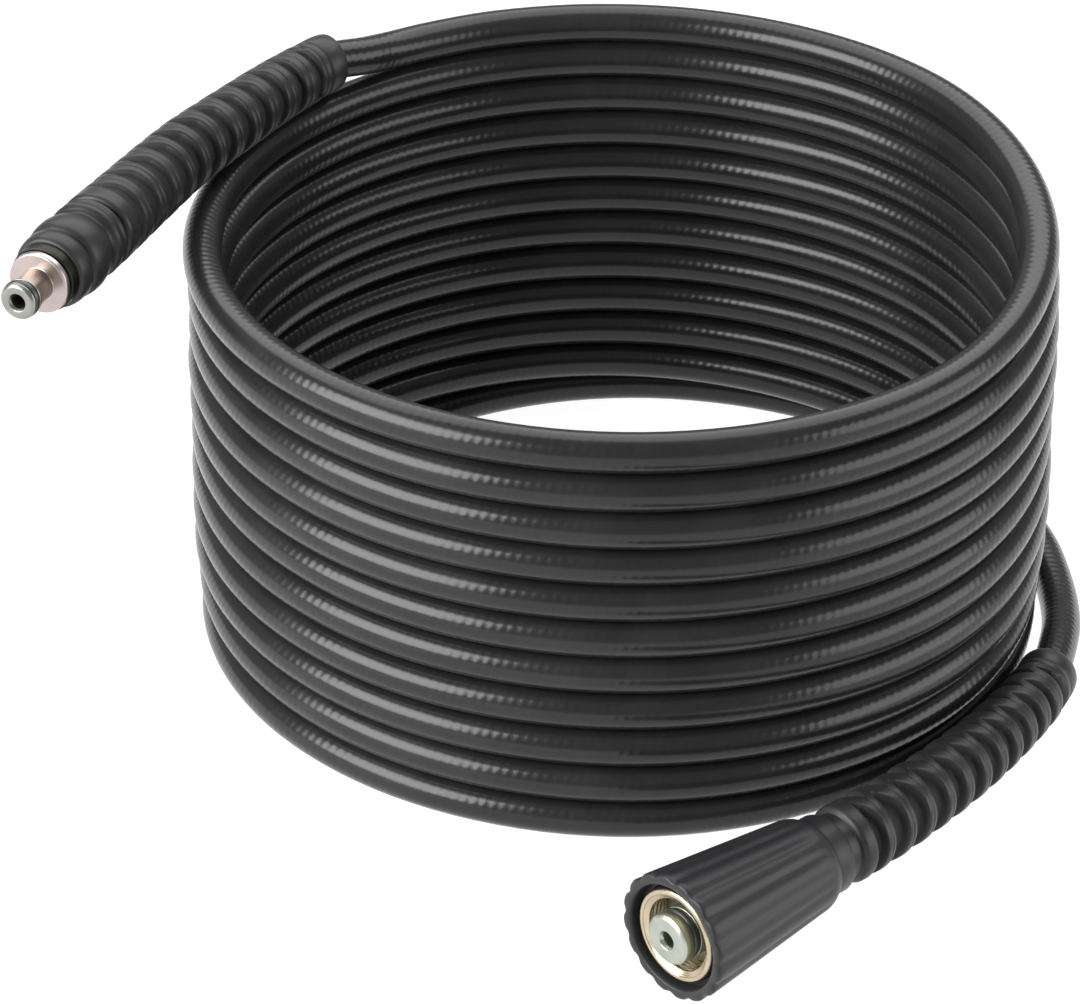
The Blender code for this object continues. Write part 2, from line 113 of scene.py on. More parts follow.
# Up the coil: the hose swings in from the tail, and each turn steps up to the next on the right side.
# The lower turns lean to the right, and the lowest ones are drawn in on the left and out in front.
# No turn is quite round: each goes up to half a millimetre in or out.
TURN_COUNT = 11
STEP_UP_TO, STEP_UP_TURN = 91, 90
SWING_OUT, SWING_TO, SWING_TURN = 12.4, -3793, 97
LEAN, DRAWN_IN, DRAWN_OUT = 2.0, 2.6, 1.5
RIGHT_SIDE, FRONT_SIDE = 46, -44
LOWEST_DROP = 8.5

for step in range(1, STEP_COUNT + 1):
    azimuth = COIL_START + COIL_STEP * step
    drop = sum(eased((STEP_UP_TO - 360 * turn - azimuth) / STEP_UP_TURN) for turn in range(TURN_COUNT))
    outward = SWING_OUT * sin(pi / 2 * min(max((SWING_TO - azimuth) / SWING_TURN, 0.0), 1.0))
    slack = 0.25 * sin(radians(azimuth * 0.83)) + 0.2 * sin(radians(azimuth * 2.31))
    rightward = cos(radians(azimuth - RIGHT_SIDE))
    frontward = cos(radians(azimuth - FRONT_SIDE))
    lean = LEAN * eased(drop / 3)
    tuck = DRAWN_IN * min(rightward, 0.0) - lean * max(rightward, 0.0) + DRAWN_OUT * max(frontward, 0.0)
    reach = COIL_REACH + outward + slack + lean * rightward + tuck * eased((drop - LOWEST_DROP) / 2)
    hose_points.append(round_coil(azimuth, reach, TOP_HEIGHT - TURN_PITCH * drop))

# From the top turn to the plug
for point in (
    (163.9, 126.2, 141.3),
    (170.6, 126.0, 141.6),
    (176.2, 124.8, 143.4),
    (182.2, 125.9, 145.3),
    (189.0, 125.6, 145.1),
    (196.0, 125.6, 145.3),
    (203.2, 126.3, 145.9),
    (210.5, 129.6, 146.0),
):
    hose_points.append(round_coil(*point))
hose_points += [plug_face + plug_back * back for back in (0.0988, 0.0494, 0.0244)]

# A smooth curve through the points, four steps from each to the next
hose_line = []
framed = [hose_points[0] * 2 - hose_points[1], *hose_points, hose_points[-1] * 2 - hose_points[-2]]
for before, start, end, after in zip(framed, framed[1:], framed[2:], framed[3:]):
    for quarter in range(4):
        t = quarter / 4
        hose_line.append(0.5 * (2 * start + (end - before) * t
                                + (2 * before - 5 * start + 4 * end - after) * t ** 2
                                + (3 * start - before - 3 * end + after) * t ** 3))
hose_line.append(hose_points[-1])


def along(line):
    """Gives the place at a distance along a line, with a level and an upward axis across it."""
    lengths = [0.0]
    for start, end in zip(line, line[1:]):
        lengths.append(lengths[-1] + (end - start).length)
    headings = []
    for index in range(len(line)):
        headings.append((line[min(index + 1, len(line) - 1)] - line[max(index - 1, 0)]).normalized())

    def place(distance):
        index = 0
        while index < len(line) - 2 and lengths[index + 1] < distance:
            index += 1
        share = (distance - lengths[index]) / (lengths[index + 1] - lengths[index])
        middle = line[index] + (line[index + 1] - line[index]) * share
        heading = headings[index].lerp(headings[index + 1], min(max(share, 0.0), 1.0))
        level = Vector((0, 0, 1)).cross(heading).normalized()
        return middle, level, heading.normalized().cross(level)

    return place, lengths


def tube(name, line, radius, sides):
    """A round tube along a line, with its ends closed.

    Its UV map holds turns round it and metres along it.
    """
    place, lengths = along(line)
    corners = []
    for number, distance in enumerate(lengths):
        back = 1e-7 if number else 0.0
        middle, level, up = place(distance - back)
        for side in range(sides):
            angle = 2 * pi * side / sides - pi / 2
            corners.append(middle + level * (radius * cos(angle)) + up * (radius * sin(angle)))
    faces = []
    spots = []
    for ring in range(len(line) - 1):
        for side in range(sides):
            after = (side + 1) % sides
            low, high = ring * sides, (ring + 1) * sides
            faces.append((low + side, low + after, high + after, high + side))
            for across, up in ((side, ring), (side + 1, ring), (side + 1, ring + 1), (side, ring + 1)):
                spots += [across / sides, lengths[up]]
    last = (len(line) - 1) * sides
    faces.append(tuple(reversed(range(sides))))
    faces.append(tuple(range(last, last + sides)))
    for side in range(2 * sides):
        spots += [0.0, 0.0]
    mesh = bpy.data.meshes.new(name)
    mesh.from_pydata(corners, [], faces)
    mesh.uv_layers.new(name="UVMap").data.foreach_set("uv", spots)
    mesh.shade_smooth()
    mesh.set_sharp_from_angle(angle=radians(50))
    made = bpy.data.objects.new(name, mesh)
    bpy.context.scene.collection.objects.link(made)
    return made


def node(tree, kind, **settings):
    """A new shader node with its settings."""
    made = tree.nodes.new(kind)
    for name, value in settings.items():
        setattr(made, name, value)
    return made


def sum_node(tree, operation, first, second=None):
    """A Math node on two values, each a number or another node's output."""
    made = node(tree, "ShaderNodeMath", operation=operation)
    for socket, value in zip(made.inputs, (first, second)):
        if value is None:
            continue
        if isinstance(value, (int, float)):
            socket.default_value = value
        else:
            tree.links.new(value, socket)
    return made.outputs[0]


def colour_mix(tree, share, first, second):
    """A mix of two colours by another node's output. Each colour is given, or is a node's output too.

    The Mix node has its colours at sockets 6 and 7, and their mix at output 2.
    """
    made = node(tree, "ShaderNodeMix", data_type="RGBA")
    tree.links.new(share, made.inputs["Factor"])
    for socket, colour in ((made.inputs[6], first), (made.inputs[7], second)):
        if isinstance(colour, tuple):
            socket.default_value = colour
        else:
            tree.links.new(colour, socket)
    return made.outputs[2]


def start_material(name, colour, roughness, metallic=0.0):
    """A new material with its shader's plain values set."""
    made = bpy.data.materials.new(name)
    made.use_nodes = True
    made.diffuse_color = (*colour, 1.0)
    shader = made.node_tree.nodes["Principled BSDF"]
    shader.inputs["Base Color"].default_value = (*colour, 1.0)
    shader.inputs["Roughness"].default_value = roughness
    shader.inputs["Metallic"].default_value = metallic
    return made, made.node_tree, shader


def start_group(name, values, results):
    """A new node group with named inputs, each with its usual value, and named outputs."""
    group = bpy.data.node_groups.new(name, "ShaderNodeTree")
    kinds = {3: "NodeSocketVector", 4: "NodeSocketColor"}
    for label, value in values:
        kind = kinds[len(value)] if isinstance(value, tuple) else "NodeSocketFloat"
        group.interface.new_socket(label, in_out="INPUT", socket_type=kind).default_value = value
    for label, kind in results:
        group.interface.new_socket(label, in_out="OUTPUT", socket_type=kind)
    return group, group.nodes.new("NodeGroupInput"), group.nodes.new("NodeGroupOutput")


# Handled rubber: a soft uneven gloss, pale rub marks and a fine grain
rubbed, given, out = start_group(
    "rubbed_skin",
    (("Colour", (0.02, 0.02, 0.02, 1.0)), ("Rubbed", (0.06, 0.06, 0.06, 1.0)), ("Amount", 0.3),
     ("Roughness", 0.4), ("Uneven", 0.1), ("Grain", 900.0)),
    (("Color", "NodeSocketColor"), ("Roughness", "NodeSocketFloat"), ("Height", "NodeSocketFloat")),
)
spots_at = node(rubbed, "ShaderNodeTexCoord").outputs["Object"]
cloud = node(rubbed, "ShaderNodeTexNoise")
cloud.inputs["Scale"].default_value = 38.0
cloud.inputs["Detail"].default_value = 5.0
cloud.inputs["Roughness"].default_value = 0.62
rubbed.links.new(spots_at, cloud.inputs["Vector"])
grain = node(rubbed, "ShaderNodeTexNoise")
grain.inputs["Detail"].default_value = 2.0
rubbed.links.new(spots_at, grain.inputs["Vector"])
rubbed.links.new(given.outputs["Grain"], grain.inputs["Scale"])
patches = node(rubbed, "ShaderNodeMapRange")
patches.inputs["From Min"].default_value = 0.45
patches.inputs["From Max"].default_value = 0.75
rubbed.links.new(cloud.outputs["Fac"], patches.inputs["Value"])
share = sum_node(rubbed, "MULTIPLY", patches.outputs["Result"], given.outputs["Amount"])
mixed = colour_mix(rubbed, share, given.outputs["Colour"], given.outputs["Rubbed"])
rubbed.links.new(mixed, out.inputs["Color"])
swing = sum_node(rubbed, "SUBTRACT", cloud.outputs["Fac"], 0.5)
swing = sum_node(rubbed, "MULTIPLY", swing, given.outputs["Uneven"])
rubbed.links.new(sum_node(rubbed, "ADD", swing, given.outputs["Roughness"]), out.inputs["Roughness"])
rubbed.links.new(grain.outputs["Fac"], out.inputs["Height"])


def rub(tree, shader, colour, worn, amount, roughness, uneven, grain_scale):
    """Places the rubbed skin in a material and joins its colour and roughness to the shader."""
    skin = node(tree, "ShaderNodeGroup", node_tree=rubbed)
    skin.inputs["Colour"].default_value = (*colour, 1.0)
    skin.inputs["Rubbed"].default_value = (*worn, 1.0)
    skin.inputs["Amount"].default_value = amount
    skin.inputs["Roughness"].default_value = roughness
    skin.inputs["Uneven"].default_value = uneven
    skin.inputs["Grain"].default_value = grain_scale
    tree.links.new(skin.outputs["Color"], shader.inputs["Base Color"])
    tree.links.new(skin.outputs["Roughness"], shader.inputs["Roughness"])
    return skin


def raise_by(tree, shader, height, distance):
    """Bumps the shader's surface by a height from 0 to 1, at most distance in metres."""
    bump = node(tree, "ShaderNodeBump")
    bump.inputs["Strength"].default_value = 1.0
    bump.inputs["Distance"].default_value = distance
    tree.links.new(height, bump.inputs["Height"])
    tree.links.new(bump.outputs["Normal"], shader.inputs["Normal"])


hose_rubber, tree, shader = start_material("hose_rubber_skin", (0.012, 0.012, 0.013), 0.27)
shader.inputs["Specular IOR Level"].default_value = 0.22
skin = rub(tree, shader, (0.007, 0.007, 0.0075), (0.02, 0.02, 0.021), 0.25, 0.23, 0.12, 700.0)
across_along = node(tree, "ShaderNodeSeparateXYZ")
tree.links.new(node(tree, "ShaderNodeUVMap", uv_map="UVMap").outputs["UV"], across_along.inputs["Vector"])
ridge = sum_node(tree, "DIVIDE", across_along.outputs["Y"], RIDGE_PITCH)
ridge = sum_node(tree, "ADD", ridge, sum_node(tree, "MULTIPLY", across_along.outputs["X"], RIDGE_TWISTS))
ridge = sum_node(tree, "SINE", sum_node(tree, "MULTIPLY", ridge, 2 * pi))
ridge = sum_node(tree, "MULTIPLY", ridge, 0.5)
grain_height = sum_node(tree, "MULTIPLY", skin.outputs["Height"], 0.5)
raise_by(tree, shader, sum_node(tree, "ADD", ridge, grain_height), 0.000035)

hose = tube("hose", hose_line, HOSE_R, HOSE_SIDES)
hose.data.materials.append(hose_rubber)
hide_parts("hose_coil", "hose_lead_top", "hose_lead_tail")
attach(hose, "hose")


# The boots are moulded rubber sleeves pushed over the hose's ends, which keep it from kinking there.
# Slots half way round, on one side and then the other, part them into ribs so that they bend with the hose.
# The boot at the plug has a plain band and an end ring in front of its ribs.
BOOT_SIDES = 112
RING_GAP = 0.00035
RIB_R = 0.01215
RIB_TAPER = 0.0026
COLLAR_R = 0.00925
COLLAR_LINE_R = 0.00905
BOOT_BORE_R = 0.00645
BORE_STEP = 0.008

# The slots' sizes: degrees to a slot's point, and millimetres for the depths
SLOT_HALF_TURN = 95
SLOT_DEPTH = 3.0
EDGE_DEPTH = 0.25
EDGE_WIDTH = 1.3
LINE_HALF_WIDTH = 0.4
FULLY_SUNK = 1.6

# How far back a slot's point lies from its near edge, as a share of the slot's width
POINT_SHIFT = 0.24


def turned(name, outline, sides):
    """Spins a closed outline of (distance, radius) in metres round the Z axis."""
    mesh = bpy.data.meshes.new(name)
    count = len(outline)
    edges = [(number, (number + 1) % count) for number in range(count)]
    mesh.from_pydata([(radius, 0.0, distance) for distance, radius in outline], edges, [])
    piece = bpy.data.objects.new(name, mesh)
    bpy.context.scene.collection.objects.link(piece)
    bpy.ops.object.select_all(action="DESELECT")
    piece.select_set(True)
    bpy.context.view_layer.objects.active = piece
    bpy.ops.object.mode_set(mode="EDIT")
    bpy.ops.mesh.select_all(action="SELECT")
    bpy.ops.mesh.spin(steps=sides, angle=2 * pi, center=(0, 0, 0), axis=(0, 0, 1))
    bpy.ops.mesh.select_all(action="SELECT")
    bpy.ops.mesh.remove_doubles(threshold=0.000002)
    bpy.ops.mesh.normals_make_consistent(inside=False)
    bpy.ops.object.mode_set(mode="OBJECT")
    return piece


def lay(piece, place):
    """Moves a piece modelled up the Z axis to its place along a line."""
    for corner in piece.data.vertices:
        middle, level, up = place(corner.co.z)
        corner.co = middle + level * corner.co.x + up * corner.co.y


def finish_mesh(piece, angle):
    """Shades a piece smooth wherever its faces meet below an angle in degrees."""
    bpy.ops.object.select_all(action="DESELECT")
    piece.select_set(True)
    bpy.context.view_layer.objects.active = piece
    bpy.ops.object.shade_smooth_by_angle(angle=radians(angle))


def slot_cut(distance, turn, near, width, depth):
    """How deep a slot cuts at a distance in millimetres, and a turn in degrees from the slot's middle.

    It draws in to a point at either end, mostly at its far edge, and its edges are a little rounded.
    """
    room = 1 - (turn / SLOT_HALF_TURN) ** 2
    if room <= 0:
        return 0.0
    opened = min(1.0, 1.3 * room)
    reach = width * opened
    near += POINT_SHIFT * width * (1 - opened)
    depth *= min(1.0, 2.2 * room) ** 0.5
    edge = EDGE_DEPTH * min(1.0, 3 * room)
    share = (distance - near) / reach
    if 0 < share < 1:
        return max(depth * min(1.0, 2.0 * sin(pi * share)) ** 0.8, edge)
    beyond = (near - distance if share < 0.5 else distance - near - reach) / EDGE_WIDTH
    return edge * max(0.0, 1 - beyond) ** 2


def make_boot(name, head, slots, collar, start, line, towards, bore):
    """A boot from its head's outer points on, its ribs, its collar and its bore, laid along a line.

    Each slot has its near edge, its width and its share of the full depth. The slots face one side, in
    degrees round the boot from level, and a second row out of step with them faces the other side. A fine
    line runs on from each slot of the second row. The attribute "sunk" holds how deep each point lies.
    """
    ribs_from = head[-1][0]
    rings = int((collar - ribs_from) / RING_GAP)
    outer = list(head)
    for ring in range(1, rings):
        distance = ribs_from + (collar - ribs_from) * ring / rings
        outer.append((distance, RIB_R - RIB_TAPER * ring / rings))
    for back, reach in (
        (0.0, COLLAR_R), (0.0017, COLLAR_R), (0.0020, COLLAR_LINE_R), (0.0023, COLLAR_R), (0.0046, COLLAR_R),
        (0.0049, COLLAR_LINE_R), (0.0052, COLLAR_R), (0.0090, COLLAR_R), (0.0113, 0.00918),
        (0.0120, 0.00895), (0.0125, 0.0085), (0.0127, 0.0079), (0.0127, 0.0068),
    ):
        outer.append((collar + back, reach))
    inner = [(outer[-1][0] - 0.0006, BOOT_BORE_R)]
    back = outer[-1][0] - BORE_STEP
    while back > bore[-1][0] + BORE_STEP / 2:
        inner.append((back, BOOT_BORE_R))
        back -= BORE_STEP
    inner += reversed(bore)
    piece = turned(name, outer + inner, BOOT_SIDES)

    rows = [(near, width, share, 0.0) for near, width, share in slots]
    for (near, width, share), (after, after_width, _) in zip(slots, slots[1:]):
        middle = (near + width + after) / 2
        rows.append((middle - POINT_SHIFT * after_width, after_width, share, 180.0))
    sunk = piece.data.attributes.new("sunk", "FLOAT", "POINT")
    for corner in piece.data.vertices:
        reach = hypot(corner.co.x, corner.co.y)
        distance = 1000 * corner.co.z
        if reach < 0.0088 or not 1000 * ribs_from < distance < 1000 * collar:
            continue
        turn = (atan2(corner.co.y, corner.co.x) * 180 / pi - towards) % 360
        turn = min(turn, 360 - turn)
        depth = SLOT_DEPTH - (corner.co.z - ribs_from) / (collar - ribs_from)
        cut = 0.0
        for near, width, share, side in rows:
            if near - 2 < distance < near + width + 2:
                cut = max(cut, slot_cut(distance, abs(turn - side), near, width, share * depth))
                if side and turn < SLOT_HALF_TURN:
                    off_line = abs(distance - near - POINT_SHIFT * width)
                    cut = max(cut, EDGE_DEPTH * (1 - off_line / LINE_HALF_WIDTH))
        corner.co.x *= 1 - 0.001 * cut / reach
        corner.co.y *= 1 - 0.001 * cut / reach
        sunk.data[corner.index].value = eased(cut / FULLY_SUNK)
    place, _ = along(line)
    lay(piece, lambda distance: place(start + distance))
    finish_mesh(piece, 55)
    return piece


boot_rubber, tree, shader = start_material("boot_rubber_skin", (0.02, 0.02, 0.021), 0.45)
shader.inputs["Specular IOR Level"].default_value = 0.22
skin = rub(tree, shader, (0.008, 0.008, 0.0086), (0.02, 0.02, 0.021), 0.3, 0.40, 0.14, 1500.0)
# The boot's colour is mixed towards near black by how deep each point lies: painted shade in the slots. The
# slots are also given a higher roughness the deeper they lie.
deep = node(tree, "ShaderNodeAttribute", attribute_name="sunk").outputs["Fac"]
share = sum_node(tree, "MULTIPLY", deep, 0.85)
mixed = colour_mix(tree, share, skin.outputs["Color"], (0.003, 0.003, 0.003, 1.0))
tree.links.new(mixed, shader.inputs["Base Color"])
dulled = sum_node(tree, "ADD", skin.outputs["Roughness"], sum_node(tree, "MULTIPLY", deep, 0.3))
tree.links.new(dulled, shader.inputs["Roughness"])
raise_by(tree, shader, skin.outputs["Height"], 0.00003)

# Each end's line runs back from its fitting's face and on along the hose
plug_line = [plug_face, *hose_line[::-1]]
nut_line = [nut_face, *hose_line]

plug_boot = make_boot(
    "boot_at_plug",
    [
        (-0.0020, 0.0098), (-0.0020, 0.0106), (-0.0015, 0.0112), (-0.0004, 0.0116), (0.0016, 0.01185),
        (0.0037, 0.0118), (0.0042, 0.0114), (0.0045, 0.0109), (0.0050, 0.0108), (0.0054, 0.0112),
        (0.0060, 0.0119), (0.0070, 0.0123), (0.0090, 0.0126), (0.0115, 0.0126), (0.0133, 0.0123),
        (0.0150, 0.0118), (0.0165, 0.0111), (0.0177, 0.0105), (0.0185, 0.0105), (0.0192, 0.0112),
        (0.0198, 0.0119), (0.0206, 0.0122), (0.0214, 0.0121), (0.0224, 0.0119), (0.0229, 0.0117),
        (0.0234, 0.0119), (0.0241, 0.0121), (0.0247, 0.0119), (0.0251, 0.0112), (0.0255, 0.0101),
        (0.0262, 0.0101), (0.0266, 0.0112), (0.0271, 0.0119), (0.0280, RIB_R),
    ],
    [
        (33.2, 4.2, 0.45), (42.2, 5.2, 0.6), (52.0, 5.4, 0.65), (62.2, 5.6, 0.75), (71.3, 6.0, 1.0),
        (81.5, 6.0, 1.0), (92.0, 5.8, 1.0), (103.0, 5.4, 1.0), (112.8, 5.2, 1.0), (123.3, 4.9, 1.0),
        (135.3, 4.2, 1.0), (145.9, 3.5, 1.0),
    ],
    collar=0.1493,
    start=0.0212,
    line=plug_line,
    towards=150,
    bore=[(-0.0020, 0.0094), (0.0292, 0.0094), (0.0292, BOOT_BORE_R)],
)
plug_boot.data.materials.append(boot_rubber)
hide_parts("plug_boot")
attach(plug_boot, "hose")

nut_boot = make_boot(
    "boot_at_nut",
    [
        (0.0, 0.0099), (0.0, 0.0102), (0.0038, 0.0102), (0.0042, 0.0108), (0.0046, 0.0116), (0.0052, 0.0120),
        (0.0066, 0.01205),
    ],
    [
        (7.5, 4.6, 1.0), (15.5, 7.2, 1.0), (26.2, 7.1, 1.0), (37.1, 6.9, 1.0), (47.9, 6.4, 1.0),
        (58.5, 6.2, 1.0), (69.0, 5.7, 1.0), (79.2, 5.3, 1.0), (89.0, 5.1, 1.0), (99.1, 4.6, 1.0),
        (109.1, 4.0, 1.0), (118.8, 2.8, 1.0),
    ],
    collar=0.1214,
    start=0.0638,
    line=nut_line,
    towards=178,
    bore=[(0.0, BOOT_BORE_R)],
)
nut_boot.data.materials.append(boot_rubber)
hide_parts("nut_boot")
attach(nut_boot, "hose")


# The plug is turned from steel and zinc plated, and its barbed tail is pushed into the hose.
# It has a nose with an O-ring, a neck, and a flange that a fitting's spring clip holds.
# A blackened steel ferrule is crimped over the hose on it, and its front band shows before the boot.
METAL_SIDES = 96
METAL_ANGLE = 38
TOOL_RING_DEPTH = 0.00001


def broken(outline, size):
    """Rounds each corner of a closed outline by a small size."""
    made = []
    for number, (distance, radius) in enumerate(outline):
        corner = Vector((distance, radius))
        before = Vector(outline[number - 1]) - corner
        after = Vector(outline[(number + 1) % len(outline)]) - corner
        if before.angle(after) > radians(160):
            made.append((distance, radius))
            continue
        start = corner + before.normalized() * min(size, before.length * 0.45)
        end = corner + after.normalized() * min(size, after.length * 0.45)
        for t in (0.0, 0.35, 0.65, 1.0):
            at = start * (1 - t) ** 2 + corner * (2 * t * (1 - t)) + end * t ** 2
            made.append((at.x, at.y))
    return made


def on_axis(face, back):
    """Places along a fitting's straight axis, back from its face."""
    level = Vector((0, 0, 1)).cross(back).normalized()
    up = back.cross(level)
    return lambda distance: (face + back * distance, level, up)


# Turned metal: fine rings from the tool, on faces and round the sides alike
tooled, given, out = start_group(
    "tool_rings",
    (("Vector", (0.0, 0.0, 0.0)), ("Colour", (0.7, 0.7, 0.7, 1.0)), ("Dull", (0.4, 0.4, 0.4, 1.0)),
     ("Amount", 0.3), ("Roughness", 0.25), ("Uneven", 0.1)),
    (("Color", "NodeSocketColor"), ("Roughness", "NodeSocketFloat"), ("Height", "NodeSocketFloat")),
)
axes = node(tooled, "ShaderNodeSeparateXYZ")
tooled.links.new(given.outputs["Vector"], axes.inputs["Vector"])
spread = sum_node(tooled, "ADD", sum_node(tooled, "POWER", axes.outputs["Y"], 2.0),
                  sum_node(tooled, "POWER", axes.outputs["Z"], 2.0))
pair = node(tooled, "ShaderNodeCombineXYZ")
tooled.links.new(axes.outputs["X"], pair.inputs["X"])
tooled.links.new(sum_node(tooled, "SQRT", spread), pair.inputs["Y"])
rings = node(tooled, "ShaderNodeTexNoise", noise_dimensions="2D")
rings.inputs["Scale"].default_value = 2600.0
rings.inputs["Detail"].default_value = 2.0
tooled.links.new(pair.outputs["Vector"], rings.inputs["Vector"])
stains = node(tooled, "ShaderNodeTexNoise")
stains.inputs["Scale"].default_value = 160.0
stains.inputs["Detail"].default_value = 4.0
tooled.links.new(given.outputs["Vector"], stains.inputs["Vector"])
stained = node(tooled, "ShaderNodeMapRange")
stained.inputs["From Min"].default_value = 0.42
stained.inputs["From Max"].default_value = 0.72
tooled.links.new(stains.outputs["Fac"], stained.inputs["Value"])
share = sum_node(tooled, "MULTIPLY", stained.outputs["Result"], given.outputs["Amount"])
mixed = colour_mix(tooled, share, given.outputs["Colour"], given.outputs["Dull"])
tooled.links.new(mixed, out.inputs["Color"])
swing = sum_node(tooled, "SUBTRACT", rings.outputs["Fac"], 0.5)
swing = sum_node(tooled, "MULTIPLY", swing, given.outputs["Uneven"])
tooled.links.new(sum_node(tooled, "ADD", swing, given.outputs["Roughness"]), out.inputs["Roughness"])
tooled.links.new(rings.outputs["Fac"], out.inputs["Height"])


def metal(name, face, turn, colour, dull, amount, roughness, uneven):
    """A turned metal whose tool rings run round the axis through a face's middle.

    The axis is level, and turn is its heading in degrees.
    """
    made, tree, shader = start_material(name, colour, roughness, 1.0)
    centred = node(tree, "ShaderNodeMapping", vector_type="TEXTURE", name="centred")
    centred.inputs["Location"].default_value = face
    centred.inputs["Rotation"].default_value = (0.0, 0.0, radians(turn))
    tree.links.new(node(tree, "ShaderNodeTexCoord").outputs["Object"], centred.inputs["Vector"])
    marks = node(tree, "ShaderNodeGroup", node_tree=tooled, name="marks")
    tree.links.new(centred.outputs["Vector"], marks.inputs["Vector"])
    marks.inputs["Colour"].default_value = (*colour, 1.0)
    marks.inputs["Dull"].default_value = (*dull, 1.0)
    marks.inputs["Amount"].default_value = amount
    marks.inputs["Roughness"].default_value = roughness
    marks.inputs["Uneven"].default_value = uneven
    tree.links.new(marks.outputs["Color"], shader.inputs["Base Color"])
    tree.links.new(marks.outputs["Roughness"], shader.inputs["Roughness"])
    raise_by(tree, shader, marks.outputs["Height"], TOOL_RING_DEPTH)
    return made


plug_place = on_axis(plug_face, plug_back)
plug_steel = metal(
    "zinc_steel_plug", plug_face, 112.0, (0.52, 0.46, 0.46), (0.34, 0.27, 0.22), 0.6, 0.3, 0.12)

# The plug's nose is a cooler grey than its neck, and its flange a paler pink
tree = plug_steel.node_tree
axes = node(tree, "ShaderNodeSeparateXYZ")
tree.links.new(tree.nodes["centred"].outputs["Vector"], axes.inputs["Vector"])
tint = (0.20, 0.225, 0.20, 1.0)
for at, after in ((0.0049, (0.22, 0.18, 0.14, 1.0)), (0.0126, (0.42, 0.35, 0.36, 1.0))):
    beyond = node(tree, "ShaderNodeMapRange")
    beyond.inputs["From Min"].default_value = at - 0.0002
    beyond.inputs["From Max"].default_value = at + 0.0002
    tree.links.new(axes.outputs["X"], beyond.inputs["Value"])
    tint = colour_mix(tree, beyond.outputs["Result"], tint, after)
tree.links.new(tint, tree.nodes["marks"].inputs["Colour"])

plug = turned("plug", broken([
    (0.0009, 0.00225), (0.0, 0.0029), (0.0, 0.0049), (0.0008, 0.00575), (0.0013, 0.00575), (0.0013, 0.0043),
    (0.0039, 0.0043), (0.0039, 0.00575), (0.0047, 0.00575), (0.0050, 0.0050), (0.0127, 0.0050),
    (0.0127, 0.0092), (0.0131, 0.0096), (0.0147, 0.0096), (0.0151, 0.0092), (0.0151, 0.0060),
    (0.0241, 0.0060), (0.0241, 0.00225),
], 0.00022), METAL_SIDES)
lay(plug, plug_place)
finish_mesh(plug, METAL_ANGLE)
plug.data.materials.append(plug_steel)
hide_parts("plug_body")
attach(plug, "hose")


def o_ring(name, middle, reach, width, thickness, place):
    """An O-ring in its groove, with a round section a little flattened by its fit."""
    section = []
    for step in range(18):
        angle = 2 * pi * step / 18
        section.append((middle + width / 2 * cos(angle), reach + thickness / 2 * sin(angle)))
    made = turned(name, section, 72)
    lay(made, place)
    finish_mesh(made, 60)
    return made


seal_rubber, tree, shader = start_material("seal_rubber_skin", (0.012, 0.014, 0.013), 0.3)
skin = rub(tree, shader, (0.010, 0.012, 0.011), (0.03, 0.035, 0.03), 0.3, 0.28, 0.1, 2500.0)
raise_by(tree, shader, skin.outputs["Height"], 0.00001)

plug_seal = o_ring("o_ring_on_plug", 0.0026, 0.0053, 0.0021, 0.0014, plug_place)
plug_seal.data.materials.append(seal_rubber)
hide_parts("plug_o_ring")
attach(plug_seal, "hose")

dark_steel = metal(
    "dark_steel_ferrule", plug_face, 112.0, (0.018, 0.0185, 0.015), (0.012, 0.012, 0.010), 0.6, 0.36, 0.1)
plug_ferrule = turned("ferrule_at_plug", broken([
    (0.0154, 0.00635), (0.0154, 0.0102), (0.0205, 0.0102), (0.0208, 0.0090), (0.0494, 0.0090),
    (0.0494, 0.00635),
], 0.0004), METAL_SIDES)
lay(plug_ferrule, plug_place)
finish_mesh(plug_ferrule, METAL_ANGLE)
plug_ferrule.data.materials.append(dark_steel)
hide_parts("plug_ferrule")
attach(plug_ferrule, "hose")


# The nut's stem is a steel tube barbed into the hose's other end, with an O-ring near its nose.
# A ferrule is crimped over the hose on it, inside the nut's grip.
nut_place = on_axis(nut_face, nut_back)
stem_steel = metal("stem_steel_nose", nut_face, 90.0, (0.37, 0.40, 0.34), (0.25, 0.27, 0.22), 0.5, 0.34, 0.1)
stem = turned("stem", broken([
    (-0.0006, 0.0023), (-0.0018, 0.0030), (-0.0018, 0.0067), (-0.0010, 0.0077), (0.0020, 0.0077),
    (0.0020, 0.0060), (0.0046, 0.0060), (0.0046, 0.0077), (0.0090, 0.0077), (0.0090, 0.0108),
    (0.0138, 0.0108), (0.0138, 0.0074), (0.0236, 0.0074), (0.0236, 0.0060), (0.0336, 0.0060),
    (0.0336, 0.0023),
], 0.00025), METAL_SIDES)
lay(stem, nut_place)
finish_mesh(stem, METAL_ANGLE)
stem.data.materials.append(stem_steel)
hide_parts("nut_stem")
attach(stem, "hose")

stem_seal = o_ring("o_ring_on_stem", 0.0033, 0.00705, 0.0021, 0.0016, nut_place)
stem_seal.data.materials.append(seal_rubber)
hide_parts("stem_o_ring")
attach(stem_seal, "hose")

# The nut's ferrule is out of sight in the grip, so it keeps its solid's shape
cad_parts["nut_ferrule"].data.materials.clear()
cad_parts["nut_ferrule"].data.materials.append(dark_steel)


# The nut turns on the stem: a brass insert with a 22 mm thread, pressed into a moulded plastic grip.
# The grip tapers back from its face, with sixteen shallow flutes for the hand, and ends in a plain hub.
THREAD_R = 0.0112
THREAD_PITCH = 0.0015
THREAD_DEPTH = 0.00055
THREAD_FROM, THREAD_TO = 0.0025, 0.0141
GRIP_SIDES = 160
FLUTES = 16
FLUTE_DEPTH = 0.0009

